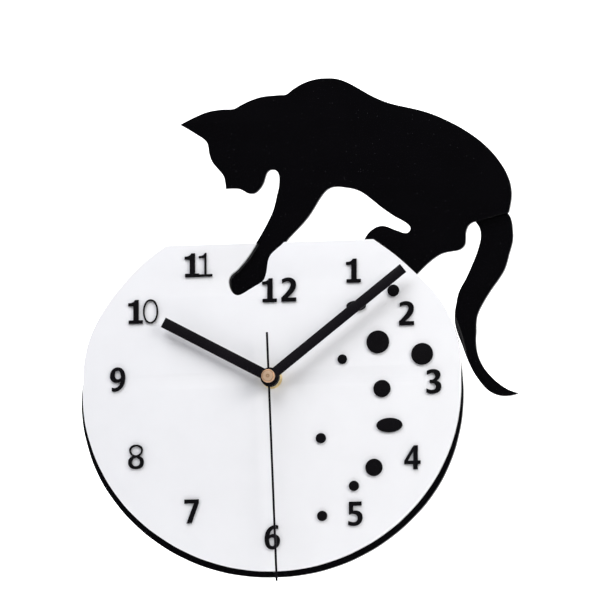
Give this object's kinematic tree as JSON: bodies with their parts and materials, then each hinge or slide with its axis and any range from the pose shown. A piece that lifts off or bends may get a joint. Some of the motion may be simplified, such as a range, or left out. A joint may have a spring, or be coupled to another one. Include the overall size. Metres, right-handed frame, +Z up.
{
  "type": "wall clock",
  "caption": "Flat acrylic wall clock: a black cat leans over a round white fish-bowl dial and dips a paw in, with a separate tail that swings.",
  "frame": {"origin": "on the wall plane, on the axis of the hands, at the flat back of the quartz movement", "axes": "+Z up, front of the clock faces -Y, +Y points into the wall, +X is to the right as seen from the front"},
  "size_m": [0.2642, 0.0372, 0.3026],
  "materials": {
    "black_acrylic": "polished black acrylic sheet",
    "white_acrylic": "glossy white acrylic sheet",
    "hand_black": "satin black enamel on aluminium sheet",
    "black_plastic": "fine moulded texture",
    "white_plastic": "moulded acetal",
    "brass": "turned and pressed brass",
    "steel": "plain steel sheet and pins",
    "copper": "copper-gold",
    "rubber": "soft black rubber",
    "board": "green circuit board",
    "cell_wrap": "printed film over a steel can, with no lettering",
    "foam": "double-sided foam pad"
  },
  "bodies": {
    "clock_body": {"cat_back_plate": "black_acrylic", "numeral_01": "black_acrylic", "numeral_02": "black_acrylic", "numeral_03": "black_acrylic", "numeral_04": "black_acrylic", "numeral_05": "black_acrylic", "numeral_06": "black_acrylic", "numeral_07": "black_acrylic", "numeral_08": "black_acrylic", "numeral_09": "black_acrylic", "numeral_10": "black_acrylic", "numeral_11": "black_acrylic", "numeral_12": "black_acrylic", "bubble_01": "black_acrylic", "bubble_02": "black_acrylic", "bubble_03": "black_acrylic", "bubble_04": "black_acrylic", "bubble_05": "black_acrylic", "bubble_06": "black_acrylic", "bubble_07": "black_acrylic", "bubble_08": "black_acrylic", "bubble_09": "black_acrylic", "bubble_10": "black_acrylic", "bubble_11": "black_acrylic", "dial_plate": "white_acrylic", "movement_case": "black_plastic", "movement_cover": "black_plastic", "swing_case": "black_plastic", "swing_cover": "black_plastic", "train_plate": "white_plastic", "coil_bobbin": "white_plastic", "threaded_bushing": "brass", "brass_washer": "brass", "hex_nut": "brass", "hanger_bracket": "steel", "stator": "steel", "contact_positive": "steel", "contact_negative": "steel", "coil_winding": "copper", "swing_coil": "copper", "rubber_washer": "rubber", "circuit_board": "board", "aa_cell": "cell_wrap", "swing_cell": "cell_wrap", "adhesive_pad": "foam"},
    "hour_hand_group": {"hour_wheel": "white_plastic", "hour_hand": "hand_black"},
    "minute_hand_group": {"minute_wheel": "brass", "minute_hand": "hand_black"},
    "second_hand_group": {"second_wheel": "steel", "second_hand": "hand_black", "second_hand_cap": "copper"},
    "third_wheel_group": {"third_wheel": "brass"},
    "intermediate_wheel_group": {"intermediate_wheel": "white_plastic"},
    "motion_wheel_group": {"motion_wheel": "white_plastic"},
    "rotor_group": {"rotor": "steel"},
    "setting_knob_group": {"setting_knob": "black_plastic"},
    "tail_group": {"cat_tail": "black_acrylic", "swing_arm": "white_plastic", "arm_magnet": "steel"}
  },
  "joints": [
    {"name": "minute_spin", "type": "hinge", "parent": "clock_body", "child": "minute_hand_group", "pos_m": [0, 0, 0], "axis": [0, 1, 0], "continuous": true},
    {"name": "hour_spin", "type": "hinge", "parent": "clock_body", "child": "hour_hand_group", "pos_m": [0, 0, 0], "axis": [0, 1, 0], "continuous": true},
    {"name": "second_spin", "type": "hinge", "parent": "clock_body", "child": "second_hand_group", "pos_m": [0, 0, 0], "axis": [0, 1, 0], "continuous": true},
    {"name": "third_wheel_spin", "type": "hinge", "parent": "clock_body", "child": "third_wheel_group", "pos_m": [0.00459, 0, 0.00795], "axis": [0, 1, 0], "continuous": true},
    {"name": "intermediate_wheel_spin", "type": "hinge", "parent": "clock_body", "child": "intermediate_wheel_group", "pos_m": [-0.00624, 0, 0.0036], "axis": [0, 1, 0], "continuous": true},
    {"name": "rotor_spin", "type": "hinge", "parent": "clock_body", "child": "rotor_group", "pos_m": [-0.00974, 0, 0.00966], "axis": [0, 1, 0], "continuous": true},
    {"name": "motion_wheel_spin", "type": "hinge", "parent": "clock_body", "child": "motion_wheel_group", "pos_m": [0.00713, 0, -0.001], "axis": [0, 1, 0], "continuous": true},
    {"name": "setting_knob_spin", "type": "hinge", "parent": "clock_body", "child": "setting_knob_group", "pos_m": [0.0139, 0, 0.00146], "axis": [0, 1, 0], "continuous": true},
    {"name": "tail_swing", "type": "hinge", "parent": "clock_body", "child": "tail_group", "pos_m": [0.1266, 0, 0.1105], "axis": [0, 1, 0], "range_deg": [-10, 10]}
  ],
  "couplings": [
    {"joint": "hour_spin", "follows": "minute_spin", "ratio": 0.083333},
    {"joint": "second_spin", "follows": "minute_spin", "ratio": 60},
    {"joint": "third_wheel_spin", "follows": "minute_spin", "ratio": -8},
    {"joint": "intermediate_wheel_spin", "follows": "minute_spin", "ratio": -300},
    {"joint": "rotor_spin", "follows": "minute_spin", "ratio": 1800},
    {"joint": "motion_wheel_spin", "follows": "minute_spin", "ratio": -0.33333},
    {"joint": "setting_knob_spin", "follows": "minute_spin", "ratio": 1}
  ]
}
